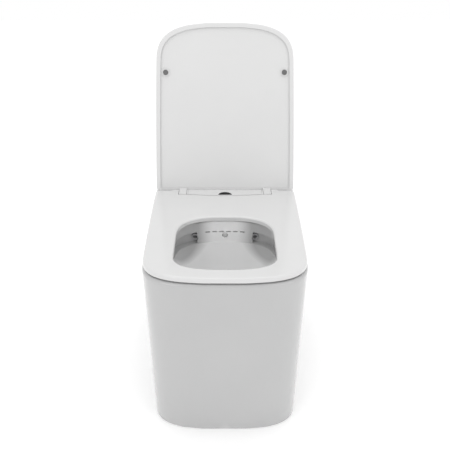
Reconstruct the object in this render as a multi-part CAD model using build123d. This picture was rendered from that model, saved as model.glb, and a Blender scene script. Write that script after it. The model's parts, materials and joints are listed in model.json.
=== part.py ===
"""Floor-standing shower toilet with an electric bidet unit let into its rear deck.

Millimetres, +Z up from the floor. +X is the user's left-to-right seen from the front, the front faces -Y and the
flat back stands against a wall at +Y. Lid open, seat down and spray wand in, as it stands ready for use.
Plan shapes are laid out by their distance ahead of the hinge line, which ahead() turns into Y.
"""

from build123d import *
import math
import os

# Driving dimensions -------------------------------------------------------------------------------------------
pan_length = 580.0          # wall to the front of the china
rim_z = 410.0               # top of the china
seat_reach = 433.0          # hinge line to the front of seat and lid
china_lip = 4.0             # china standing proud of the seat at the front
seat_top_z = 425.0          # top of the closed seat
seat_edge = 11.5            # thickness of the seat
knuckle_r = 10.0            # round about the hinge line, flush with the seat's top
lid_gap = 1.5               # lid's lip above the seat when closed
lid_lip = 14.0              # height of the lid over its lip
lid_open_deg = 105.0        # angle of the open lid above the closed one

half_rear, half_mid, half_front = 182.7, 180.0, 175.4   # seat's half width at hinge line, middle and corner
corner_depth = 99.0         # how far back the front corners reach
squareness = 3.0            # exponent of the corner curve; 2 is an ellipse

china_side = 2.5            # china standing proud of the seat at the sides
china_wall = 12.0
deck_thick = 16.0
base_recess = 16.0          # front of the foot behind the front of the rim
base_taper = 8.0            # side of the foot inside the side of the rim
base_corner = 100.0
foot_edge_r = 4.0
rim_edge_r = 7.0

opening_front, opening_rear, opening_half = 395.0, 156.0, 111.0   # hole in the seat
bowl_front, bowl_rear, bowl_half = 411.0, 150.0, 122.0            # hole in the china's rim
rim_band = 27.0             # height of the china's rim wall inside the bowl
channel_deep = 12.0         # flush channel behind the rim
channel_high = 30.0
block_half = 68.0           # half width of the plain wall between the two channel ends

wall_gap = 0.3              # clearance between parts that rest on or pass each other
fit_gap = 0.05              # radial clearance of a shaft in its bore

# Places that follow --------------------------------------------------------------------------------------------
china_front = seat_reach + china_lip
wall_ahead = china_front - pan_length                 # the wall, ahead of the hinge line (negative: behind it)
hinge_y = pan_length / 2 + wall_ahead
hinge_z = seat_top_z - knuckle_r
seat_under_z = seat_top_z - seat_edge
wall_y = pan_length / 2
rim_under_z = rim_z - rim_band
channel_floor_z = rim_under_z - channel_high

os.makedirs("parts", exist_ok=True)
parts = {}


def ahead(distance):
    """Y of a place this far ahead of the hinge line."""
    return hinge_y - distance


def corner_curve(side, half, depth, power, place, lean=0.0):
    """Superellipse quarter on one side (-1 or 1), from the shoulder at (half, place(0)) to the middle line."""
    angles = [math.pi / 2 * i / 8 for i in range(9)]
    points = []
    for a in angles:
        e = depth * math.sin(a) ** (2 / power)
        points.append((side * (half * math.cos(a) ** (2 / power)) * (1 - lean * e / half), place(e)))
    way = 1 if place(1) > place(0) else -1
    return Spline(*points, tangents=((-side * lean, way), (-side, 0)))


def d_outline(front, rear, halves, depth, power=squareness, rear_r=0.0):
    """Face with a straight rear edge, bowed sides and one squared-off round front: seat, lid and china."""
    at_rear, at_middle, at_corner = halves
    shoulder = front - depth
    middle = (rear + rear_r + shoulder) / 2
    lean = (4 * at_middle - 3 * at_corner - at_rear) / (2 * (shoulder - middle))
    flat = at_rear - rear_r
    cut = rear_r * (1 - math.sqrt(0.5))
    edges = [Line((-flat, ahead(rear)), (flat, ahead(rear)))]
    for side in (-1, 1):
        edges.append(Spline((side * at_rear, ahead(rear + rear_r)), (side * at_middle, ahead(middle)),
                            (side * at_corner, ahead(shoulder))))
        edges.append(corner_curve(side, at_corner, depth, power, lambda e: ahead(shoulder + e), lean))
        if rear_r:
            edges.append(ThreePointArc((side * at_rear, ahead(rear + rear_r)), (side * (at_rear - cut), ahead(rear + cut)),
                                       (side * flat, ahead(rear))))
    return make_face(edges)


def egg_outline(front, rear, half, front_depth, rear_depth, front_power=2.8, rear_power=2.6):
    """Face that is round at both ends: holes in seat and rim, and every level of the bowl."""
    edges = []
    for side in (-1, 1):
        edges.append(Line((side * half, ahead(front - front_depth)), (side * half, ahead(rear + rear_depth))))
        edges.append(corner_curve(side, half, front_depth, front_power, lambda e: ahead(front - front_depth + e)))
        edges.append(corner_curve(side, half, rear_depth, rear_power, lambda e: ahead(rear + rear_depth - e)))
    return make_face(edges)


def slab(face, low, high):
    """The face as a plate from one height to another."""
    return Pos(0, 0, low) * extrude(face, high - low)


def block(x_range, ahead_range, z_range):
    """Box between these limits, with its length given ahead of the hinge line."""
    (x0, x1), (a0, a1), (z0, z1) = x_range, ahead_range, z_range
    return Pos((x0 + x1) / 2, ahead((a0 + a1) / 2), (z0 + z1) / 2) * Box(x1 - x0, abs(a1 - a0), z1 - z0)


def rod(axis, start, length, radius):
    """Cylinder from start along +X, +Y or +Z."""
    turn = {"X": Rot(0, 90, 0), "Y": Rot(-90, 0, 0), "Z": Rot(0, 0, 0)}[axis]
    return Pos(*start) * turn * Cylinder(radius, length, align=(Align.CENTER, Align.CENTER, Align.MIN))


def rounded(plan, low, high, low_r=0.0, high_r=0.0, steps=4):
    """Solid on plan(inset, z) with its bottom and top edges rolled over by lofting a ladder of smaller outlines."""
    levels = []
    if low_r:
        turns = [math.pi / 2 * i / steps for i in range(steps)]
        levels += [(low_r * (1 - math.sin(t)), low + low_r * (1 - math.cos(t))) for t in turns]
    levels += [(0.0, low + low_r), (0.0, high - high_r)]
    if high_r:
        turns = [math.pi / 2 * (i + 1) / steps for i in range(steps)]
        levels += [(high_r * (1 - math.cos(t)), high - high_r * (1 - math.sin(t))) for t in turns]
    return loft([Pos(0, 0, z) * plan(inset, z) for inset, z in levels], ruled=True)


def flared(plan, high, flare):
    """Cutter that opens a hole's top edge outward in three bevels that stand in for a round."""
    bevels = [(1.5, -flare - 1.0), (-0.23 * flare, -0.36 * flare), (-0.58 * flare, -0.09 * flare), (-flare, 0.02)]
    return loft([Pos(0, 0, high + z) * plan(inset) for inset, z in bevels], ruled=True)


def mirrored(shape):
    """The shape and its mirror image across the middle plane."""
    return shape + mirror(shape, Plane.YZ)


def hinge_rod(x0, x1, radius):
    """Cylinder about the hinge line."""
    return rod("X", (x0, hinge_y, hinge_z), x1 - x0, radius)


# Vitreous china pan --------------------------------------------------------------------------------------------
well_half = 147.5           # pit for the bidet unit in the rear deck
well_front, well_rear = 125.5, -122.5
well_floor_z = 318.0
ledge = 8.5                 # step round the pit's mouth that the cover lies on
ledge_z = 405.0
outlet_z = 180.0            # horizontal waste outlet
outlet_r = 51.0
outlet_bore = 40.0
outlet_reach = 30.0         # spigot behind the china's back wall, inside the skirt's recess
flush_z = 345.0             # flush pipe socket
flush_r = 27.5
flush_wall = 9.0
trap_r = 27.0
trap_wall = 9.0
trap_bend = 45.0            # radius of the trapway's bends along its middle
jet_r = 8.5                 # side jets of the flush channel
jet_x = 74.0
jet_z = rim_under_z - 16.0
jet_deep, jet_long = 13.0, 15.0   # bore behind the line of the bowl's rear, and the jet in it
slot_w, slot_h, slot_pitch = 11.0, 3.0, 17.0   # rinse slots under the rear rim
service_x, service_z, service_r = (-124.0, -52.0), (328.0, 362.0), 16.5   # opening for hose and mains lead
recess_half, recess_top, recess_r = 95.0, 262.0, 40.0                     # opening round the waste outlet
fixing_x = 120.0            # floor brackets
fixing_ahead = 20.0
side_hole_r = 9.0
side_hole_z = 45.0


def china_plan(inset, z):
    """The china's outline at a height; it tapers in towards the foot."""
    down = 1 - z / rim_z
    halves = [h + china_side - inset - base_taper * down for h in (half_rear + 0.5, half_mid + 1.5, half_front)]
    front = china_front - inset - base_recess * down
    depth = corner_depth + 6 - inset + (base_corner - corner_depth - 6) * down
    return d_outline(front, wall_ahead - wall_cut + inset, halves, depth, squareness + 0.2)


# Each level: height, front, rear, half width, front depth, rear depth
bowl_levels = [
    (channel_floor_z, 404.0, 152.0, 120.0, 90.0, 90.0),
    (300.0, 388.0, 166.0, 103.0, 85.0, 80.0),
    (245.0, 358.0, 200.0, 72.0, 65.0, 65.0),
    (195.0, 330.0, 232.0, 45.0, 42.0, 42.0),
    (150.0, 318.0, 246.0, 34.0, 33.0, 33.0),
]


def bowl_form(grow=0.0):
    faces = [
        Pos(0, 0, z - grow) * egg_outline(f + grow, r - grow, h + grow, fd + grow, rd + grow)
        for z, f, r, h, fd, rd in bowl_levels
    ]
    return loft(faces)


def trap_line():
    """Centre line of the trapway: out of the sump, over the weir and down to the waste outlet."""
    return FilletPolyline(
        (0, ahead(282), 185), (0, ahead(205), 185), (0, ahead(150), 236), (0, ahead(60), 236), (0, ahead(0), outlet_z),
        (0, ahead(wall_ahead + outlet_reach + 40), outlet_z), radius=trap_bend,
    )


def bowl_hole(inset=0.0):
    return egg_outline(bowl_front - inset, bowl_rear + inset, bowl_half - inset, 90, 90)


def rear_cutout(x_range, z_range, radius, start):
    """Opening with rounded corners through the china behind this place."""
    (x0, x1), (z0, z1) = x_range, z_range
    box = Pos((x0 + x1) / 2, 0, (z0 + z1) / 2) * Box(x1 - x0, 60, z1 - z0)
    box = fillet(box.edges().filter_by(Axis.Y), radius)
    return Pos(0, ahead(start) + 30, 0) * box


wall_cut = 3.0              # china drawn on past the wall and then cut flush with it
hollow_extra = 3.0          # skirt thicker than the bowl's wall by this
back_half, back_low, back_top = 175.0, 60.0, 390.0      # upright panel behind the skirt
ring_front, ring_rear, ring_side = 16.0, 20.0, 26.0     # china round the flush channel, beyond the bowl's edge
ring_depth = 100.0
ring_under = 8.0            # top of the ring below the rim, inside the deck
pit_front = 30.0            # the pit's china reaches on to meet the bowl
slot_count = 6


def trap_tube(radius):
    """Round bar of the given radius along the trapway."""
    line = trap_line()
    return sweep(Plane(line @ 0, z_dir=line % 0) * Circle(radius), path=line)


def china_cavities():
    """Every hollow in the china above and behind the skirt: bowl, channel, trapway, pit, bores and slots."""
    back = ahead(wall_ahead + outlet_reach + 60)
    channel = slab(egg_outline(bowl_front + channel_deep, bowl_rear - channel_deep, bowl_half + channel_deep, 98, 98),
                   channel_floor_z, rim_under_z)
    channel -= block((-block_half, block_half), (0, 200), (0, rim_z))
    cavities = [slab(bowl_hole(), channel_floor_z - 1, rim_z + 1), flared(bowl_hole, rim_z, 4.0), channel, bowl_form(),
                trap_tube(trap_r), rod("Y", (0, back + 12, outlet_z), wall_y - back, outlet_bore)]
    cavities.append(block((-well_half, well_half), (well_rear, well_front), (well_floor_z, rim_z + 1)))
    cavities.append(block((-well_half - ledge, well_half + ledge), (well_rear - ledge + 1, well_front + 5.5),
                          (ledge_z, rim_z + 1)))
    cavities.append(rod("Y", (0, ahead(well_rear + 5), flush_z), 60, flush_r))
    cavities.append(rear_cutout(service_x, service_z, service_r, well_rear + 5))
    cavities.append(rear_cutout((-recess_half, recess_half), (-recess_r, recess_top), recess_r,
                                wall_ahead + china_wall + 2) - rod("Y", (0, back, outlet_z), 300, outlet_r + 2))
    cavities += [rod("Z", (x, ahead(a), well_floor_z - screw_into - wall_gap), 20, screw_r + wall_gap)
                 for x, a in screw_places]
    cavities.append(mirrored(rod("X", (fixing_x, ahead(fixing_ahead), side_hole_z), 100, side_hole_r)))
    cavities.append(mirrored(rod("Y", (jet_x, ahead(bowl_rear + 30), jet_z), 30 + jet_deep + wall_gap, jet_r)))
    for i in range(slot_count):
        x = (i - (slot_count - 1) / 2) * slot_pitch
        cavities.append(block((x - slot_w / 2, x + slot_w / 2), (bowl_rear - 12, bowl_rear + 8),
                              (rim_under_z - slot_h - 1, rim_under_z - 1)))
    cavities.append(wand_frame * rod("X", (-60, 0, 0), 80, port_r))
    return cavities


def make_china():
    """The china, one fired piece on the real product, as skirt, bowl, pit and trapway that meet face to face."""
    skirt = rounded(china_plan, 0, rim_z, foot_edge_r, rim_edge_r)
    skirt -= rounded(lambda inset, z: china_plan(china_wall + hollow_extra + inset, z), -1, rim_z - deck_thick)
    skirt -= Pos(0, wall_y + 50, rim_z / 2) * Box(500, 100, rim_z + 10)
    panel = block((-back_half, back_half), (wall_ahead, wall_ahead + china_wall), (back_low, back_top))
    skirt += panel & rounded(lambda inset, z: china_plan(1 + inset, z), 0.5, rim_z - 0.5)
    skirt -= rear_cutout((-recess_half, recess_half), (-recess_r, recess_top), recess_r, wall_ahead + china_wall + 2)
    within = rounded(lambda inset, z: china_plan(china_wall / 2 + inset, z), 0.5, rim_z - 6)
    back = ahead(wall_ahead + outlet_reach + 60)
    ring = egg_outline(bowl_front + ring_front, bowl_rear - ring_rear, bowl_half + ring_side, ring_depth, ring_depth)
    bowl = (bowl_form(china_wall) + slab(ring, channel_floor_z - china_wall, rim_z - ring_under)) & within
    pit = block((-well_half - china_wall, well_half + china_wall), (well_rear - 8, well_front + pit_front),
                (well_floor_z - china_wall, rim_z - ring_under))
    pit += rod("Y", (0, ahead(well_rear - 2), flush_z), wall_y - ahead(well_rear - 2), flush_r + flush_wall)
    trap = trap_tube(trap_r + trap_wall) + rod("Y", (0, back, outlet_z), wall_y - 4 - back, outlet_r)
    shapes = [skirt, bowl - skirt, pit - skirt - bowl, trap - skirt - bowl - pit]
    for i, shape in enumerate(shapes):
        for cavity in china_cavities():
            shape = shape - cavity
        shapes[i] = shape
    return shapes


# Spray wand frame: X runs down and out into the bowl, Y is the row's +X and Z is square to the wand ---------------
wand_slope = 8.0
wand_mouth_ahead, wand_mouth_z = 150.5, 370.5
wand_r = 6.5
port_r = 7.2
wand_long = 168.0
tip_long = 16.0
slope = math.radians(wand_slope)
wand_frame = Plane(origin=(0, ahead(wand_mouth_ahead), wand_mouth_z),
                   x_dir=(0, -math.cos(slope), -math.sin(slope)), z_dir=(0, -math.sin(slope), math.cos(slope))).location

gear_module = 1.5
pinion_teeth = 12
rack_flat = 5.0             # flat on the wand's underside that the rack is fixed to
rack_back = 3.0
rack_w = 8.0
tooth_add, tooth_ded = gear_module, 1.25 * gear_module
tooth_thick = 0.38          # share of the pitch, so the mesh has backlash
pitch_r = gear_module * pinion_teeth / 2
tooth_pitch = math.pi * gear_module
rack_pitch_z = -rack_flat - rack_back - tooth_ded
pinion_s = -98.5            # place of the pinion along the wand
pinion_z = rack_pitch_z - pitch_r
rack_end = -91.5            # front of the rack, wand in
shaft_r = 2.0


def make_wand_tube():
    body = rod("X", (-wand_long, 0, 0), wand_long - tip_long, wand_r)
    body -= rod("X", (-wand_long + 6, 0, 0.8), wand_long, 2.2)
    body -= Pos(-wand_long / 2 + rack_end / 2, 0, -rack_flat - 5) * Box(wand_long + rack_end, 20, 10)
    return wand_frame * body


def make_nozzle_tip():
    body = rod("X", (-tip_long, 0, 0), tip_long, wand_r)
    body = fillet(body.edges().group_by(Axis.X)[-1], 4.0)
    body -= rod("X", (-tip_long - 1, 0, 0.8), 10, 2.2)
    for s in (-11.0, -7.5):
        body -= rod("Z", (s, 0, 0), 10, 0.9)
    return wand_frame * body


def tooth_profile(base_half, tip_half, base, tip):
    return [(-base_half, base), (base_half, base), (tip_half, tip), (-tip_half, tip)]


def make_rack():
    lean = math.tan(math.radians(20))
    half = tooth_thick * tooth_pitch / 2
    top, root, tip = -rack_flat, rack_pitch_z + tooth_ded, rack_pitch_z - tooth_add
    long = wand_long + rack_end
    bar = Pos((-wand_long + rack_end) / 2, 0, (top + root) / 2) * Box(long - 2, rack_w, top - root)
    count = int((long - 8) / tooth_pitch / 2)
    for i in range(-count, count + 1):
        s = pinion_s + (i + 0.5) * tooth_pitch
        if not -wand_long + 4 < s < rack_end - 4:
            continue
        points = tooth_profile(half + tooth_ded * lean, half - tooth_add * lean, root + 0.01, tip)
        face = make_face(Polyline(*[(s + x, z) for x, z in points], close=True))
        bar += Pos(0, rack_w / 2, 0) * Rot(90, 0, 0) * extrude(face, rack_w)
    return wand_frame * bar


def make_pinion():
    half = tooth_thick * tooth_pitch / 2
    gear = Circle(pitch_r - tooth_ded)
    for i in range(pinion_teeth):
        points = tooth_profile(half + 0.45, half - 0.5, pitch_r - tooth_ded - 1, pitch_r + tooth_add - 0.2)
        gear += Rot(0, 0, 360 / pinion_teeth * i) * make_face(Polyline(*points, close=True))
    wheel = Pos(0, rack_w / 2 - 0.5, 0) * Rot(90, 0, 0) * extrude(gear, rack_w - 1)
    shaft = rod("Y", (0, 0, 0), guide_half + 10, shaft_r)
    return wand_frame * Pos(pinion_s, 0, pinion_z) * (wheel + shaft)


guide_front, guide_rear = -35.0, -84.0
guide_half, guide_top, guide_low = 12.0, 10.0, -8.5


def make_wand_guide():
    """Channel that the wand slides in, open below for rack and pinion, on two legs."""
    long = guide_front - guide_rear
    centre = (guide_front + guide_rear) / 2
    body = Pos(centre, 0, (guide_top + guide_low) / 2) * Box(long, 2 * guide_half, guide_top - guide_low)
    body -= rod("X", (guide_rear - 1, 0, 0), long + 2, wand_r + fit_gap)
    body -= Pos(centre, 0, guide_low) * Box(long + 2, rack_w + 2, 12)
    placed = wand_frame * body
    foot_z = tray_floor_z + tray_wall
    for s in (guide_rear + 8, guide_front - 8):
        a = wand_mouth_ahead + s * math.cos(slope)
        for side in (-1, 1):
            x = side * (guide_half - 3)
            placed += block((x - 2.5, x + 2.5), (a - 4, a + 4), (foot_z, wand_mouth_z - s * math.sin(slope) - 4))
    return placed


def make_wand_motor():
    """Stepper motor on the pinion's shaft, with its foot on the tray."""
    x0 = guide_half + 6.5
    centre = wand_frame * Pos(pinion_s, 0, pinion_z)
    x, y, z = centre.position
    can = rod("X", (x0 - 6, y, z), 28, 12)
    can -= rod("X", (x0 - 7, y, z), 12, shaft_r + fit_gap)
    foot = Pos(x0 + 10, y, (tray_floor_z + tray_wall + z) / 2) * Box(18, 14, z - tray_floor_z - tray_wall)
    foot -= rod("X", (x0 - 7, y, z), 12, shaft_r + fit_gap)
    return can + foot


# Bidet unit housing --------------------------------------------------------------------------------------------
tray_wall = 2.5
tray_gap = 1.5              # air between tray and china
tray_floor_z = well_floor_z + wall_gap
tray_half = well_half - tray_gap
tray_front, tray_rear = well_front - tray_gap, well_rear + tray_gap
cover_thick = 3.0
cover_z = rim_z + 1.0       # low part of the cover, clear of the seat's underside
bridge_half = 100.0         # raised middle between the lid's lugs
bridge_front_side, bridge_front_mid = 25.0, 33.0
lug_in, lug_out = bridge_half + 1.0, bridge_half + 20.5
lug_front = 25.0
arm_in = lug_out + 1.5      # inner face of the seat's arms
arm_knuckle = 18.0          # width of the seat's knuckles
pin_r = 4.0
damper_long = 20.0          # pin inside the bridge, up to its damper
damper_can = 32.0
damper_r = 5.4
lug_sweep = 28.5            # radius that the lid's lugs sweep
panel_half, panel_rear = 97.0, -4.0
panel_deep = 2.0
panel_floor = 2.0
panel_rim = 3.0             # bridge showing in front of the panel
window_r = 17.6
post_half = 6.0


def bridge_face(grow=0.0):
    """Raised middle of the cover in plan: straight sides and a gently bowed front edge."""
    half, side, mid = bridge_half + grow, bridge_front_side + grow, bridge_front_mid + grow
    bow = ThreePointArc((half, ahead(side)), (0, ahead(mid)), (-half, ahead(side)))
    rest = Polyline((-half, ahead(side)), (-half, ahead(-knuckle_r - grow)), (half, ahead(-knuckle_r - grow)),
                    (half, ahead(side)))
    return make_face([bow, rest])


def hinge_profile(x0, x1, reach):
    """Block whose rear end is rounded about the hinge line and whose top is flush with the seat."""
    nose = hinge_rod(x0, x1, knuckle_r)
    return nose + block((x0, x1), (0, reach), (hinge_z - knuckle_r, seat_top_z))


def make_tray():
    outer = block((-tray_half, tray_half), (tray_rear, tray_front), (tray_floor_z, ledge_z - wall_gap))
    inner = block((-tray_half + tray_wall, tray_half - tray_wall), (tray_rear + tray_wall, tray_front - tray_wall),
                  (tray_floor_z + tray_wall, rim_z))
    body = outer - inner
    body -= wand_frame * rod("X", (-60, 0, 0), 80, port_r)
    body -= rod("Y", (valve_x, ahead(tray_rear + 20), valve_z), 60, nipple_r + 1)
    body -= rod("Y", (gland_x, ahead(tray_rear + 20), valve_z), 60, gland_r)
    for x, a in screw_places:
        body += rod("Z", (x, ahead(a), tray_floor_z), 60, post_half)
        body -= rod("Z", (x, ahead(a), tray_floor_z - 1), 70, screw_r + 0.2)
    return body


def make_cover():
    """Low lid of the pit with the raised bridge that carries the hinge pins."""
    low = block((-well_half - ledge + 1, well_half + ledge - 1), (well_rear - ledge + 2, well_front + 4.5),
                (ledge_z, cover_z))
    low = fillet(low.edges().filter_by(Axis.Z), 6)
    low -= block((-well_half + 4, well_half - 4), (well_rear + 4, well_front - 4), (0, cover_z - cover_thick))
    raised = extrude(Pos(0, 0, cover_z - cover_thick) * bridge_face(), seat_top_z - cover_z + cover_thick)
    keep = hinge_profile(-bridge_half, bridge_half, bridge_front_mid + 1)
    raised = raised & keep
    body = low + raised
    inside = extrude(Pos(0, 0, 300) * bridge_face(-cover_thick), seat_top_z - panel_deep - panel_floor - 300)
    inside = inside & hinge_inner()
    body -= inside
    boss_in = bridge_half - damper_long - damper_can - 1
    body += mirrored(hinge_rod(boss_in, bridge_half, knuckle_r)) & block((-200, 200), (-40, 40), (0, cover_z + 13.5))
    body -= mirrored(hinge_rod(boss_in - 1, bridge_half - damper_long, damper_r + wall_gap))
    body -= panel_pocket(0.0)
    body -= hinge_rod(-bridge_half - 1, bridge_half + 1, pin_r + fit_gap)
    body -= mirrored(hinge_rod(lug_in - 1, lug_out + 1, lug_sweep)
                     & block((lug_in - 1, lug_out + 1), (-60, 60), (0, seat_top_z + 1)))
    body -= mirrored(hinge_rod(arm_in - 1.6, arm_in + arm_knuckle + 1, knuckle_r + 1))
    body -= mirrored(block((arm_in - 1.5, arm_in + arm_knuckle + 1), (0, 34), (hinge_z - knuckle_r - 1, rim_z + 9)))
    return body


def hinge_inner():
    """Inside limit of the hollow bridge, a wall's thickness in from its rounded rear."""
    return hinge_rod(-bridge_half, bridge_half, knuckle_r - cover_thick) + block(
        (-bridge_half, bridge_half), (0, bridge_front_mid), (300, seat_top_z - 1))


def panel_pocket(gap):
    """The shallow pocket in the bridge's top, or the panel in it with a gap all round."""
    half, side, mid = panel_half - gap, bridge_front_side - panel_rim - gap, bridge_front_mid - panel_rim - gap
    rear = panel_rear + gap
    bow = ThreePointArc((half, ahead(side)), (0, ahead(mid)), (-half, ahead(side)))
    rest = Polyline((-half, ahead(side)), (-half, ahead(rear)), (half, ahead(rear)), (half, ahead(side)))
    face = make_face([bow, rest])
    return slab(face, seat_top_z - panel_deep, seat_top_z + (1 if gap == 0 else -0.6))


def window_disc(radius, z0, z1):
    """Half disc with its flat side at the panel's front edge."""
    flat = bridge_front_mid - panel_rim - 0.6
    disc = rod("Z", (0, ahead(flat), z0), z1 - z0, radius)
    return disc & block((-radius, radius), (0, flat), (z0, z1))


def make_panel():
    slot = window_disc(window_r + wall_gap, 400, 440)
    return panel_pocket(0.6) - slot - Pos(0, -2, 0) * slot


def make_window():
    return window_disc(window_r, seat_top_z - panel_deep, seat_top_z - 0.4)


# Water side ----------------------------------------------------------------------------------------------------
valve_x, valve_z = -105.0, 345.0
nipple_r = 10.2
gland_x, gland_r = -68.0, 8.0
screw_r = 3.0
screw_places = [(x, a) for x in (-136.0, 136.0) for a in (110.0, -108.0)]
screw_into = 9.0            # depth of the screws in the pit's floor
outlet_x = 86.0             # hot water out of the heater and into the pump
stand_z = tray_floor_z + tray_wall      # components stand on the tray's floor


def make_inlet_valve():
    body = block((valve_x - 18, valve_x + 18), (tray_rear + 12, tray_rear + 55), (stand_z, valve_z + 16))
    body += rod("Y", (valve_x, ahead(tray_rear + 12), valve_z), 14, nipple_r - 2)
    body += rod("Y", (valve_x, ahead(tray_rear + 2), valve_z), 12, nipple_r)
    body += rod("Z", (valve_x, ahead(tray_rear + 38), valve_z), 34, 13)
    return body - rod("Y", (valve_x, ahead(tray_rear + 20), valve_z), 60, nipple_r - 4)


def make_heater():
    body = block((45, 125), (-108, -38), (stand_z, stand_z + 58))
    body = fillet(body.edges().filter_by(Axis.Z), 10)
    return body + rod("Z", (60, ahead(-60), stand_z + 55), 12, 5) + rod("Z", (outlet_x, ahead(-60), stand_z + 55), 12, 5)


def make_pump():
    body = rod("X", (50, ahead(5), stand_z + 21), 62, 19)
    body += block((60, 100), (-8, 18), (stand_z, stand_z + 20))
    return body + rod("Z", (outlet_x, ahead(5), stand_z + 30), 16, 4)


def make_control_box():
    body = block((-35, 25), (-112, -52), (stand_z, stand_z + 26))
    return fillet(body.edges().filter_by(Axis.Z), 4)


def make_circuit_board():
    low = stand_z + 26.0
    board = block((-32, 22), (-109, -55), (low, low + 1.6))
    for x, a, high in ((-20, -100, 9), (-2, -100, 6), (12, -98, 12), (-18, -72, 5), (8, -70, 8)):
        board += block((x - 5, x + 5), (a - 5, a + 5), (low + 1, low + 1.6 + high))
    return board


def make_gland():
    """Strain relief that the mains lead passes through, in the tray's rear wall."""
    outside = ahead(tray_rear)
    body = rod("Y", (gland_x, outside - 8, valve_z), 9, gland_r - wall_gap)
    body += rod("Y", (gland_x, outside - 7, valve_z), 4, gland_r + 3)
    return body - rod("Y", (gland_x, outside - 9, valve_z), 12, 4.0)


def make_tubes():
    """Rubber tube from the valve to the heater, and from the heater to the pump."""
    top = stand_z + 70
    first = FilletPolyline((valve_x, ahead(tray_rear + 38), valve_z + 34), (valve_x, ahead(tray_rear + 38), top + 8),
                           (-40, ahead(-46), top + 8), (60, ahead(-60), top + 8), (60, ahead(-60), stand_z + 67), radius=7)
    second = FilletPolyline((outlet_x, ahead(-60), stand_z + 67), (outlet_x, ahead(-60), top + 6),
                            (outlet_x, ahead(5), top + 6), (outlet_x, ahead(5), stand_z + 46), radius=7)
    tubes = []
    for line in (first, second):
        tubes.append(sweep(Plane(line @ 0, z_dir=line % 0) * Circle(3.5), path=line))
    return Compound(children=tubes)


def make_tray_screws():
    screws = []
    for x, a in screw_places:
        head = rod("Z", (x, ahead(a), tray_floor_z + 60), 4, post_half - 0.5)
        screws.append(head + rod("Z", (x, ahead(a), well_floor_z - screw_into), 61 + screw_into, screw_r))
    return Compound(children=screws)


# Hinge ---------------------------------------------------------------------------------------------------------
def make_hinge_pin(side):
    """Steel pin keyed into the lid's lug; it turns in the bridge and carries the seat's arm."""
    pin = hinge_rod(bridge_half - damper_long, arm_in + arm_knuckle - 1, pin_r)
    return pin if side > 0 else mirror(pin, Plane.YZ)


def make_damper(side):
    """Rotary soft-close damper behind the end of the pin, in the bridge's boss."""
    inner_end = bridge_half - damper_long
    can = hinge_rod(inner_end - damper_can, inner_end - wall_gap, damper_r)
    return can if side > 0 else mirror(can, Plane.YZ)


# Seat ----------------------------------------------------------------------------------------------------------
seat_skin = 3.0
seat_base_thick = 2.0
seat_edge_r = 5.0
seat_rear_r = 12.0
pad_r = 7.0
cutout_gap = 2.5            # seat's rear edge ahead of the bridge


def seat_outline(inset=0.0, z=0.0):
    return d_outline(seat_reach - inset, inset, [h - inset for h in (half_rear, half_mid, half_front)],
                     corner_depth - inset, rear_r=seat_rear_r - min(inset, 5))


def seat_hole(inset=0.0):
    return egg_outline(opening_front - inset, opening_rear + inset, opening_half - inset, 65 - inset, 85 - inset)


def seat_notch(inset=0.0):
    """Notch in the seat's rear for the bridge and the lid's lugs."""
    grow = cutout_gap + inset
    return bridge_face(grow) + Pos(0, ahead((lug_front + grow) / 2 - 20)) * Rectangle(
        2 * (arm_in + inset), lug_front + grow + 40)


def make_seat_top():
    """Hollow shell with rolled edges, open below, and a knuckle round each hinge pin."""
    split_z = seat_under_z + seat_base_thick
    body = rounded(seat_outline, split_z, seat_top_z, 0, seat_edge_r)
    body = body - slab(seat_hole(), 0, 500) - slab(seat_notch(), 0, 500)
    hollow = slab(seat_outline(seat_skin), split_z - 1, seat_top_z - seat_skin)
    body -= hollow - slab(seat_hole(-seat_skin - 1), 0, 500) - slab(seat_notch(seat_skin), 0, 500)
    body -= flared(seat_hole, seat_top_z, seat_edge_r)
    body += mirrored(hinge_rod(arm_in, arm_in + arm_knuckle, knuckle_r))
    return body - mirrored(hinge_rod(arm_in - 1, arm_in + arm_knuckle + 1, pin_r + fit_gap))


def make_seat_base():
    body = rounded(seat_outline, seat_under_z, seat_under_z + seat_base_thick, 1.0, 0)
    body -= slab(seat_hole(), 0, 500) + slab(seat_notch(), 0, 500)
    return body - mirrored(hinge_rod(arm_in - 1, arm_in + arm_knuckle + 1, knuckle_r + 0.5))


def make_seat_heater():
    top = seat_top_z - seat_skin - 0.1
    ring = egg_outline(opening_front + 24, opening_rear - 30, opening_half + 36, 90, 90)
    hole = egg_outline(opening_front + 8, opening_rear - 8, opening_half + 8, 70, 90)
    return slab(ring - hole, top - 0.5, top)


pad_places = [(150.0, 330.0), (166.0, 100.0)]


def make_seat_pads():
    pads = []
    for x, a in pad_places:
        pad = rod("Z", (x, ahead(a), rim_z + wall_gap), seat_under_z - rim_z - wall_gap, pad_r)
        pads += [pad, mirror(pad, Plane.YZ)]
    return Compound(children=pads)


# Lid, drawn closed and turned open about the hinge line ----------------------------------------------------------
lid_under = knuckle_r + lid_gap        # lip above the hinge line when closed
lid_rear, lid_rear_r = 3.0, 12.0
lip_w = 11.0
lid_recess = 4.0
lid_crown_r = 8.0
lid_edge_r = 2.0
lid_field_r = 3.0           # hollow where the lid's field meets its lip
bumper_x, bumper_ahead = 152.0, 312.0
bumper_r, bumper_foot_r = 5.5, 9.0


def open_lid(shape):
    """Turns a shape drawn on the closed lid to the open one."""
    axis = Axis((0, hinge_y, hinge_z), (-1, 0, 0))
    return shape.rotate(axis, lid_open_deg)


def lid_plan(inset=0.0, z=0.0):
    return d_outline(seat_reach - inset, lid_rear + inset, [h - inset for h in (half_rear, half_mid, half_front)],
                     corner_depth - inset, rear_r=lid_rear_r - min(inset, lid_rear_r - 2))


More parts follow.
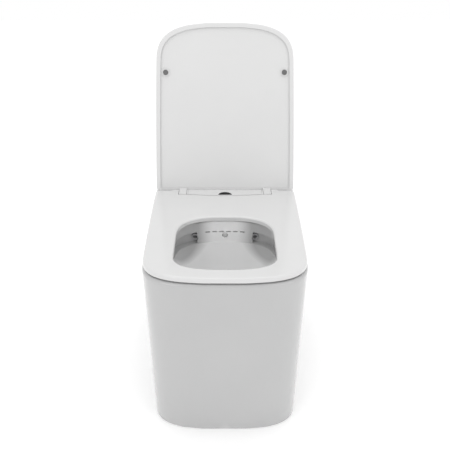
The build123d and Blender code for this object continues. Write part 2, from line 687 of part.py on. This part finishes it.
def make_lid():
    low = hinge_z + lid_under
    body = rounded(lid_plan, low, low + lid_lip, lid_edge_r, lid_crown_r)
    body -= rounded(lambda inset, z: lid_plan(lip_w - inset), low - 1, low + lid_recess, 0, lid_field_r)
    body = open_lid(body)
    lug = block((lug_in, lug_out), (-14, lug_front), (hinge_z - 9, seat_top_z))
    lug -= hinge_rod(lug_in - 1, lug_out + 1, pin_r)
    lug -= block((lug_in - 1, lug_out + 1), (-40, lug_front + 1), (0, hinge_z - 9))
    return body + mirrored(lug)


def make_lid_bumpers():
    base = hinge_z + lid_under + lid_recess
    bumpers = []
    for side in (-1, 1):
        x, y = side * bumper_x, ahead(bumper_ahead)
        foot = rod("Z", (x, y, base - 1.5), 1.5, bumper_foot_r)
        foot += rod("Z", (x, y, base - lid_recess - lid_gap + wall_gap), lid_recess + lid_gap - 1.5 - wall_gap, bumper_r)
        bumpers.append(open_lid(foot))
    return Compound(children=bumpers)


# Seals, fixings and flush parts --------------------------------------------------------------------------------
seal_wall = 5.0


def make_flush_seal():
    body = rod("Y", (0, wall_y - 14, flush_z), 13, flush_r - wall_gap / 2)
    return body - rod("Y", (0, wall_y - 20, flush_z), 30, flush_r - seal_wall)


def make_jets():
    """Plastic jet in each end of the flush channel."""
    front = ahead(bowl_rear - jet_deep + jet_long)
    jet = rod("Y", (jet_x, front, jet_z), jet_long, jet_r - wall_gap)
    jet -= rod("Y", (jet_x, front - 1, jet_z), jet_long - 2, jet_r - 3)
    return Compound(children=[jet, mirror(jet, Plane.YZ)])


bracket_half = 15.0
bracket_out = fixing_x + 36.0


def make_brackets():
    """Angle bracket on the floor inside each side of the skirt."""
    foot = block((fixing_x - 18, bracket_out), (fixing_ahead - bracket_half, fixing_ahead + bracket_half), (0, 5))
    foot -= rod("Z", (fixing_x, ahead(fixing_ahead), -1), 10, 4.5)
    up = block((bracket_out - 5, bracket_out), (fixing_ahead - bracket_half, fixing_ahead + bracket_half), (0, 65))
    up -= rod("X", (bracket_out - 6, ahead(fixing_ahead), side_hole_z), 10, 4.0 + fit_gap)
    return Compound(children=[foot + up, mirror(foot + up, Plane.YZ)])


def china_half_at(z):
    """Half width of the china's outside beside the floor brackets."""
    return half_mid + china_side + 1.5 - base_taper * (1 - z / rim_z)


def make_side_screws():
    end = china_half_at(side_hole_z) - 5
    screw = rod("X", (bracket_out - 8, ahead(fixing_ahead), side_hole_z), end - bracket_out + 8, 4.0)
    screw += rod("X", (end - 7, ahead(fixing_ahead), side_hole_z), 5, 7.0)
    return Compound(children=[screw, mirror(screw, Plane.YZ)])


def make_side_caps():
    outside = china_half_at(side_hole_z)
    cap = rod("X", (outside - 4.5, ahead(fixing_ahead), side_hole_z), 7, side_hole_r - wall_gap)
    cap = fillet(cap.edges().group_by(Axis.X)[-1], 1.5)
    return Compound(children=[cap, mirror(cap, Plane.YZ)])


# Build and write -----------------------------------------------------------------------------------------------
parts["pan_skirt"], parts["pan_bowl"], parts["pan_pit"], parts["pan_trap"] = make_china()
parts["flush_seal"] = make_flush_seal()
parts["flush_jets"] = make_jets()
parts["floor_brackets"] = make_brackets()
parts["side_screws"] = make_side_screws()
parts["side_caps"] = make_side_caps()
parts["unit_tray"] = make_tray()
parts["unit_cover"] = make_cover()
parts["cover_panel"] = make_panel()
parts["sensor_window"] = make_window()
parts["tray_screws"] = make_tray_screws()
parts["inlet_valve"] = make_inlet_valve()
parts["water_heater"] = make_heater()
parts["water_pump"] = make_pump()
parts["water_tubes"] = make_tubes()
parts["control_box"] = make_control_box()
parts["circuit_board"] = make_circuit_board()
parts["cable_gland"] = make_gland()
parts["wand_guide"] = make_wand_guide()
parts["wand_motor"] = make_wand_motor()
parts["wand_pinion"] = make_pinion()
parts["wand_tube"] = make_wand_tube()
parts["wand_rack"] = make_rack()
parts["nozzle_tip"] = make_nozzle_tip()
parts["damper_left"] = make_damper(-1)
parts["damper_right"] = make_damper(1)
parts["hinge_pin_left"] = make_hinge_pin(-1)
parts["hinge_pin_right"] = make_hinge_pin(1)
parts["seat_top"] = make_seat_top()
parts["seat_base"] = make_seat_base()
parts["seat_heater"] = make_seat_heater()
parts["seat_pads"] = make_seat_pads()
parts["lid"] = make_lid()
parts["lid_bumpers"] = make_lid_bumpers()

for name, shape in parts.items():
    export_step(shape, f"parts/{name}.step")
    print(f"{name}: {len(shape.solids())} solid(s), {shape.volume / 1000:.1f} cm3")
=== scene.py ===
"""Looks of a floor-standing shower toilet: glazed china pan, white seat and lid, bidet unit in the rear deck.

Metres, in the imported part's own frame: +Z up from the floor, the front faces -Y, the flat back stands at +Y.
"""

import bmesh
import bpy
import math
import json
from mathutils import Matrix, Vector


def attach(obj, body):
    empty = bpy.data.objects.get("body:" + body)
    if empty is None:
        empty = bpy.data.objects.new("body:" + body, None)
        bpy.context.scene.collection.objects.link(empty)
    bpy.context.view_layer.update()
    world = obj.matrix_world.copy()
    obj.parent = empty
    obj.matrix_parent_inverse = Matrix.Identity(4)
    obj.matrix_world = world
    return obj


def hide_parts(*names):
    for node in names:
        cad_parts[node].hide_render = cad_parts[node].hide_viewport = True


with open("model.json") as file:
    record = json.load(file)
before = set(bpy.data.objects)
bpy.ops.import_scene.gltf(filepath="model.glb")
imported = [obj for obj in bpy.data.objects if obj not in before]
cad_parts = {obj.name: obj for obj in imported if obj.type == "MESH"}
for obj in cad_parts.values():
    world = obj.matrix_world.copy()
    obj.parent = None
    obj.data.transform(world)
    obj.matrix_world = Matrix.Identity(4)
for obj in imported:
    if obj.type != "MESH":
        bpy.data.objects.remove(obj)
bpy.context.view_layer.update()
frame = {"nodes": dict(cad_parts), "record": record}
nodes = frame["nodes"]


# China. The real pan is one fired piece of white glazed vitreous china. Here it is four pieces that meet
# face to face: skirt, bowl, pit for the bidet unit, and trapway. Gloss and surface wander a little over a
# few centimetres.
def paint(name, color, tint, rough, scale, coat=0.0, metal=0.0, relief=0.0, swing=0.03, grain_depth=0.0):
    """Finish on Object coordinates: cloudy tint, wandering gloss, low waves and a fine grain."""
    mat = bpy.data.materials.new(name)
    mat.use_nodes = True
    tree = mat.node_tree
    shader = tree.nodes["Principled BSDF"]
    shader.inputs["Metallic"].default_value = metal
    shader.inputs["Coat Weight"].default_value = coat
    shader.inputs["Coat Roughness"].default_value = 0.04
    place = tree.nodes.new("ShaderNodeTexCoord")
    cloud = tree.nodes.new("ShaderNodeTexNoise")
    cloud.inputs["Scale"].default_value = scale
    cloud.inputs["Detail"].default_value = 4
    grain = tree.nodes.new("ShaderNodeTexNoise")
    grain.inputs["Scale"].default_value = scale * 30
    grain.inputs["Detail"].default_value = 6
    for noise in (cloud, grain):
        tree.links.new(place.outputs["Object"], noise.inputs["Vector"])
    mix = tree.nodes.new("ShaderNodeMix")
    mix.data_type = "RGBA"
    mix.inputs["A"].default_value = (*color, 1)
    mix.inputs["B"].default_value = (*tint, 1)
    tree.links.new(cloud.outputs["Fac"], mix.inputs["Factor"])
    tree.links.new(mix.outputs["Result"], shader.inputs["Base Color"])
    gloss = tree.nodes.new("ShaderNodeMapRange")
    gloss.inputs["To Min"].default_value = rough - swing
    gloss.inputs["To Max"].default_value = rough + swing
    tree.links.new(grain.outputs["Fac"], gloss.inputs["Value"])
    tree.links.new(gloss.outputs["Result"], shader.inputs["Roughness"])
    waves = tree.nodes.new("ShaderNodeBump")
    waves.inputs["Strength"].default_value = 0.25
    waves.inputs["Distance"].default_value = relief
    tree.links.new(cloud.outputs["Fac"], waves.inputs["Height"])
    fine = tree.nodes.new("ShaderNodeBump")
    fine.inputs["Strength"].default_value = 0.2
    fine.inputs["Distance"].default_value = grain_depth
    tree.links.new(grain.outputs["Fac"], fine.inputs["Height"])
    tree.links.new(waves.outputs["Normal"], fine.inputs["Normal"])
    tree.links.new(fine.outputs["Normal"], shader.inputs["Normal"])
    return mat


def finish_nodes(mat, *names):
    """Gives the finish to shaped pieces that stay as they are."""
    for name in names:
        mesh = nodes[name].data
        mesh.materials.clear()
        mesh.materials.append(mat)


def soft_skin(name, body, mat, node, crease=0.6):
    """A copy of one shaped piece, faces joined, smooth over curves and crisp over edges sharper than crease."""
    mesh = nodes[node].data.copy()
    mesh.name = name
    shape = bmesh.new()
    shape.from_mesh(mesh)
    bmesh.ops.remove_doubles(shape, verts=shape.verts, dist=0.00001)
    bmesh.ops.dissolve_degenerate(shape, edges=shape.edges, dist=0.000001)
    for face in shape.faces:
        face.smooth = True
    for edge in shape.edges:
        edge.smooth = len(edge.link_faces) == 2 and edge.calc_face_angle(0.0) < crease
    shape.to_mesh(mesh)
    shape.free()
    mesh.materials.clear()
    mesh.materials.append(mat)
    piece = bpy.data.objects.new(name, mesh)
    bpy.context.scene.collection.objects.link(piece)
    even = piece.modifiers.new("even_shading", "WEIGHTED_NORMAL")
    even.keep_sharp = True
    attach(piece, body)
    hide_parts(node)
    return piece


glaze = paint("china_glaze", (0.435, 0.435, 0.437), (0.465, 0.465, 0.465), 0.10, 7, coat=0.6, relief=0.0008,
              grain_depth=0.00002)
# Painted light: inside the bowl's oval the glaze colour is mixed to a whiter white, standing in for the light that
# gathers in the bowl.
bowl_middle_y = -0.1335
bowl_half_wide, bowl_half_deep = 0.124, 0.1335
bowl_painted_light = (0.86, 0.86, 0.86, 1)      # painted light: lighter than the outside for the light that gathers in the bowl; the real glaze is the same
tree = glaze.node_tree
shader = tree.nodes["Principled BSDF"]
outer_white = shader.inputs["Base Color"].links[0].from_socket
place = tree.nodes.new("ShaderNodeTexCoord")
centred = tree.nodes.new("ShaderNodeMapping")
centred.inputs["Scale"].default_value = (1 / bowl_half_wide, 1 / bowl_half_deep, 0)
centred.inputs["Location"].default_value = (0, -bowl_middle_y / bowl_half_deep, 0)
from_middle = tree.nodes.new("ShaderNodeVectorMath")
from_middle.operation = "LENGTH"
painted_light_mask = tree.nodes.new("ShaderNodeMapRange")
painted_light_mask.inputs["From Min"].default_value = 1.06
painted_light_mask.inputs["From Max"].default_value = 1.0
glaze_with_painted_light = tree.nodes.new("ShaderNodeMix")
glaze_with_painted_light.data_type = "RGBA"
glaze_with_painted_light.inputs["B"].default_value = bowl_painted_light
tree.links.new(place.outputs["Object"], centred.inputs["Vector"])
tree.links.new(centred.outputs["Vector"], from_middle.inputs[0])
tree.links.new(from_middle.outputs["Value"], painted_light_mask.inputs["Value"])
tree.links.new(painted_light_mask.outputs["Result"], glaze_with_painted_light.inputs["Factor"])
tree.links.new(outer_white, glaze_with_painted_light.inputs["A"])
tree.links.new(glaze_with_painted_light.outputs["Result"], shader.inputs["Base Color"])
for part in ("skirt", "bowl", "pit", "trap"):
    soft_skin(f"glazed_{part}", "base", glaze, f"pan_{part}")


# Flush jets and flush seal. Two moulded nozzles pushed into the rear wall of the bowl let the rinse water
# out, and a rubber cuff in the back of the china grips the flush pipe.
jet_plastic = paint("jet_plastic", (0.40, 0.40, 0.41), (0.45, 0.45, 0.46), 0.32, 60, relief=0.0001,
                    grain_depth=0.00002)
cuff_rubber = paint("cuff_rubber", (0.02, 0.02, 0.02), (0.035, 0.035, 0.034), 0.62, 90, relief=0.0002,
                    swing=0.08, grain_depth=0.00008)
finish_nodes(jet_plastic, "flush_jets")
finish_nodes(cuff_rubber, "flush_seal")


# Floor fixings. Two zinc-plated angle brackets inside the foot are screwed to the floor, a steel screw
# through each side of the china holds it to them, and a white cap snaps over each screw.
zinc = paint("zinc_plate", (0.48, 0.48, 0.46), (0.62, 0.62, 0.58), 0.36, 45, metal=1.0, relief=0.0002,
             swing=0.10, grain_depth=0.00005)
screw_steel = paint("screw_steel", (0.50, 0.50, 0.51), (0.58, 0.58, 0.58), 0.24, 80, metal=1.0,
                    relief=0.0001, swing=0.06, grain_depth=0.00003)
cap_white = paint("cap_white", (0.58, 0.58, 0.58), (0.61, 0.61, 0.61), 0.22, 60, coat=0.2, relief=0.0001,
                  grain_depth=0.00002)
finish_nodes(zinc, "floor_brackets")
finish_nodes(screw_steel, "side_screws", "tray_screws", "hinge_pin_left", "hinge_pin_right")
finish_nodes(cap_white, "side_caps")


# Bidet unit housing. A moulded tray hangs in the china's pit on four screws, and a white cover closes it.
# Its middle bridge, level with the seat, carries the hinge, a gloss panel and the black half-round window
# of the presence eye.
shell_white = paint("shell_white", (0.63, 0.63, 0.63), (0.66, 0.66, 0.66), 0.20, 24, coat=0.35,
                    relief=0.0003, grain_depth=0.00002)
panel_white = paint("panel_white", (0.64, 0.64, 0.64), (0.66, 0.66, 0.66), 0.13, 20, coat=0.7,
                    relief=0.0002, grain_depth=0.00001)
eye_black = paint("eye_black", (0.003, 0.003, 0.003), (0.006, 0.006, 0.006), 0.22, 60, relief=0.00002,
                  grain_depth=0.00001)
eye_black.node_tree.nodes["Principled BSDF"].inputs["Specular IOR Level"].default_value = 0.08
tray_white = paint("tray_white", (0.62, 0.62, 0.62), (0.66, 0.66, 0.66), 0.38, 50, relief=0.0003,
                   swing=0.05, grain_depth=0.00004)
soft_skin("unit_shell", "base", shell_white, "unit_cover")
soft_skin("gloss_panel", "base", panel_white, "cover_panel")
soft_skin("eye_window", "base", eye_black, "sensor_window")
finish_nodes(tray_white, "unit_tray")


# Water side and control. Inlet valve, instant heater, pump and their hoses stand in the tray beside the
# sealed control box with its board, and a rubber gland closes the way out for the mains lead.
valve_brass = paint("valve_brass", (0.58, 0.41, 0.16), (0.66, 0.49, 0.22), 0.30, 40, metal=1.0,
                    relief=0.0002, swing=0.08, grain_depth=0.00004)
housing_grey = paint("housing_grey", (0.42, 0.43, 0.44), (0.48, 0.49, 0.50), 0.42, 60, relief=0.0002,
                     swing=0.05, grain_depth=0.00006)
pump_black = paint("pump_black", (0.022, 0.022, 0.024), (0.04, 0.04, 0.042), 0.40, 60, relief=0.0002,
                   swing=0.05, grain_depth=0.00006)
hose_rubber = paint("hose_rubber", (0.15, 0.15, 0.15), (0.20, 0.20, 0.20), 0.55, 80, relief=0.0002,
                    swing=0.08, grain_depth=0.00006)
board_green = paint("board_green", (0.010, 0.075, 0.030), (0.022, 0.120, 0.050), 0.34, 70, coat=0.4,
                    relief=0.0001, grain_depth=0.00003)
water_finish = {"brass": valve_brass, "grey_plastic": housing_grey, "dark_plastic": pump_black,
                "white_plastic": tray_white, "rubber_grey": hose_rubber, "rubber": cuff_rubber, "board": board_green}
slot_of = {entry["node"]: entry["material_slot"] for entry in frame["record"]["subparts"]}
for node in ("inlet_valve", "water_heater", "water_pump", "water_tubes", "control_box", "circuit_board",
             "cable_gland"):
    finish_nodes(water_finish[slot_of[node]], node)


# Spray wand. A steel tube with a white tip slides down out of a moulded guide into the bowl. A motor turns
# the small pinion, whose teeth drive the rack under the tube.
wand_steel = paint("wand_steel", (0.56, 0.56, 0.57), (0.63, 0.63, 0.63), 0.18, 60, metal=1.0, relief=0.0001,
                   swing=0.05, grain_depth=0.00002)
motor_steel = paint("motor_steel", (0.34, 0.34, 0.35), (0.42, 0.42, 0.43), 0.30, 50, metal=1.0,
                    relief=0.0001, swing=0.08, grain_depth=0.00004)
tip_white = paint("tip_white", (0.56, 0.56, 0.56), (0.60, 0.60, 0.60), 0.16, 60, coat=0.4, relief=0.0001,
                  grain_depth=0.00002)
gear_white = paint("gear_white", (0.60, 0.60, 0.57), (0.65, 0.65, 0.62), 0.34, 80, relief=0.0001,
                   swing=0.05, grain_depth=0.00003)
soft_skin("wand_barrel", "wand", wand_steel, "wand_tube")
soft_skin("spray_tip", "wand", tip_white, "nozzle_tip")
finish_nodes(gear_white, "wand_rack", "wand_pinion")
finish_nodes(housing_grey, "wand_guide")
finish_nodes(motor_steel, "wand_motor")


# Hinge dampers. A steel can with a brake in silicone oil at each side of the bridge, which lets the seat
# and lid down slowly on their pins.
finish_nodes(pump_black, "damper_left", "damper_right")


# Seat. A hollow white plastic ring welded to its base plate, rolled at its outer edge and round the hole,
# with a heater foil inside and four rubber pads below. Its rear is notched round the hinge bridge.
seat_white = paint("seat_white", (0.62, 0.62, 0.62), (0.65, 0.65, 0.648), 0.17, 11, coat=0.45,
                   relief=0.0004, grain_depth=0.00002)
heater_foil = paint("heater_foil", (0.66, 0.66, 0.66), (0.74, 0.74, 0.74), 0.28, 30, metal=1.0,
                    relief=0.0006, swing=0.06, grain_depth=0.00005)
pad_grey = paint("pad_grey", (0.14, 0.14, 0.14), (0.19, 0.19, 0.19), 0.58, 70, relief=0.0002, swing=0.08,
                 grain_depth=0.00006)
soft_skin("seat_ring", "seat", seat_white, "seat_top")
soft_skin("seat_underside", "seat", seat_white, "seat_base")
finish_nodes(heater_foil, "seat_heater")
finish_nodes(pad_grey, "seat_pads")


# Lid. One white moulding with a raised lip round a shallow field, hung on the hinge by two lugs. The
# moulding leaves faint round marks of the tool's pins in the field.
lid_white = paint("lid_white", (0.64, 0.64, 0.64), (0.67, 0.67, 0.668), 0.18, 9, coat=0.40, relief=0.0004,
                  grain_depth=0.00002)
soft_skin("lid_moulding", "lid", lid_white, "lid")
hinge_line = Vector((0, 0.147, 0.415))
lid_opening = math.radians(105)
field_height = 0.0155          # field of the closed lid above the hinge line


def open_up(shape):
    """Turns what is drawn on the closed lid to where the open lid has it."""
    turn = Matrix.Rotation(-lid_opening, 3, "X")
    bmesh.ops.rotate(shape, cent=hinge_line, matrix=turn, verts=shape.verts)


def disc(shape, x, out, height, low_r, high_r, thick, rounding):
    """A low round boss, x from the middle and out from the hinge line, hanging down from height."""
    centre = hinge_line + Vector((x, -out, height - thick / 2))
    made = bmesh.ops.create_cone(shape, cap_ends=True, segments=48, radius1=high_r, radius2=low_r, depth=thick,
                                 matrix=Matrix.Translation(centre))
    rim = [e for v in made["verts"] for e in v.link_edges
           if all(p.co.z < centre.z for p in e.verts)]
    bmesh.ops.bevel(shape, geom=list(set(rim)), offset=rounding, segments=3, profile=0.5, material=-1,
                    affect="EDGES")


def finished(shape, name, body, mat):
    """Turns a drawn shape into a piece of the lid."""
    bmesh.ops.recalc_face_normals(shape, faces=shape.faces)
    mesh = bpy.data.meshes.new(name)
    shape.to_mesh(mesh)
    shape.free()
    for face in mesh.polygons:
        face.use_smooth = len(face.vertices) == 4
    mesh.materials.append(mat)
    piece = bpy.data.objects.new(name, mesh)
    bpy.context.scene.collection.objects.link(piece)
    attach(piece, body)
    return piece


pin_marks = bmesh.new()
for x, out in ((0.112, 0.263), (0.144, 0.121), (0.0076, 0.361), (0.0235, 0.156)):
    for side in (-1, 1):
        disc(pin_marks, side * x, out, field_height + 0.0002, 0.0042, 0.0046, 0.0005, 0.0001)
open_up(pin_marks)
finished(pin_marks, "lid_pin_marks", "lid", lid_white)


# Lid bumpers. A grey rubber button in a white collar at each side of the lid's field, pushed into the
# moulding, which rests on the seat when the lid is down.
bumper_x, bumper_out = 0.152, 0.312
button_rubber = paint("button_rubber", (0.11, 0.11, 0.11), (0.15, 0.15, 0.15), 0.50, 90, relief=0.0001,
                      swing=0.08, grain_depth=0.00006)
collars = bmesh.new()
buttons = bmesh.new()
for side in (-1, 1):
    disc(collars, side * bumper_x, bumper_out, field_height + 0.0002, 0.0104, 0.0114, 0.0017, 0.0006)
    disc(buttons, side * bumper_x, bumper_out, field_height - 0.001, 0.0060, 0.0068, 0.0040, 0.0012)
open_up(collars)
open_up(buttons)
finished(collars, "bumper_collars", "lid", lid_white)
rubber_buttons = finished(buttons, "bumper_buttons", "lid", button_rubber)
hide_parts("lid_bumpers")


# Studio. A white floor that runs out of sight, a white sky, and three wide soft lamps, with the camera in
# front of the toilet and a little above it.
floor_shape = bmesh.new()
bmesh.ops.create_grid(floor_shape, x_segments=8, y_segments=8, size=6)
floor_mesh = bpy.data.meshes.new("floor")
floor_shape.to_mesh(floor_mesh)
floor_shape.free()
floor_paint = paint("floor_paint", (0.94, 0.94, 0.94), (0.96, 0.96, 0.96), 0.85, 4, relief=0.0002,
                    grain_depth=0.00005)
floor_shader = floor_paint.node_tree.nodes["Principled BSDF"]
floor_shader.inputs["Emission Color"].default_value = (1, 1, 1, 1)
floor_shader.inputs["Emission Strength"].default_value = 0.12
floor_mesh.materials.append(floor_paint)
floor = bpy.data.objects.new("floor", floor_mesh)
bpy.context.scene.collection.objects.link(floor)

sky = bpy.data.worlds.new("studio")
bpy.context.scene.world = sky
sky.use_nodes = True
sky.node_tree.nodes["Background"].inputs["Color"].default_value = (1, 1, 1, 1)
sky.node_tree.nodes["Background"].inputs["Strength"].default_value = 1.0
for name, place, width, power in (("key", (-1.6, -2.2, 2.4), 1.6, 8), ("fill", (1.8, -1.8, 1.8), 1.6, 5),
                                  ("top", (0, 0.2, 3.0), 2.0, 12)):
    lamp = bpy.data.lights.new(name, "AREA")
    lamp.size = width
    lamp.energy = power
    holder = bpy.data.objects.new(name, lamp)
    bpy.context.scene.collection.objects.link(holder)
    holder.location = place
    toward = Vector((0, 0, 0.4)) - Vector(place)
    holder.rotation_euler = toward.to_track_quat("-Z", "Y").to_euler()
bpy.context.scene.view_settings.view_transform = "Standard"

eye = bpy.data.cameras.new("camera")
eye.sensor_width = 36
eye.lens = 46.9
camera = bpy.data.objects.new("camera", eye)
bpy.context.scene.collection.objects.link(camera)
camera.location = (0, -1.2725, 1.0594)
camera.rotation_euler = (math.radians(62.51), 0, 0)
bpy.context.scene.camera = camera
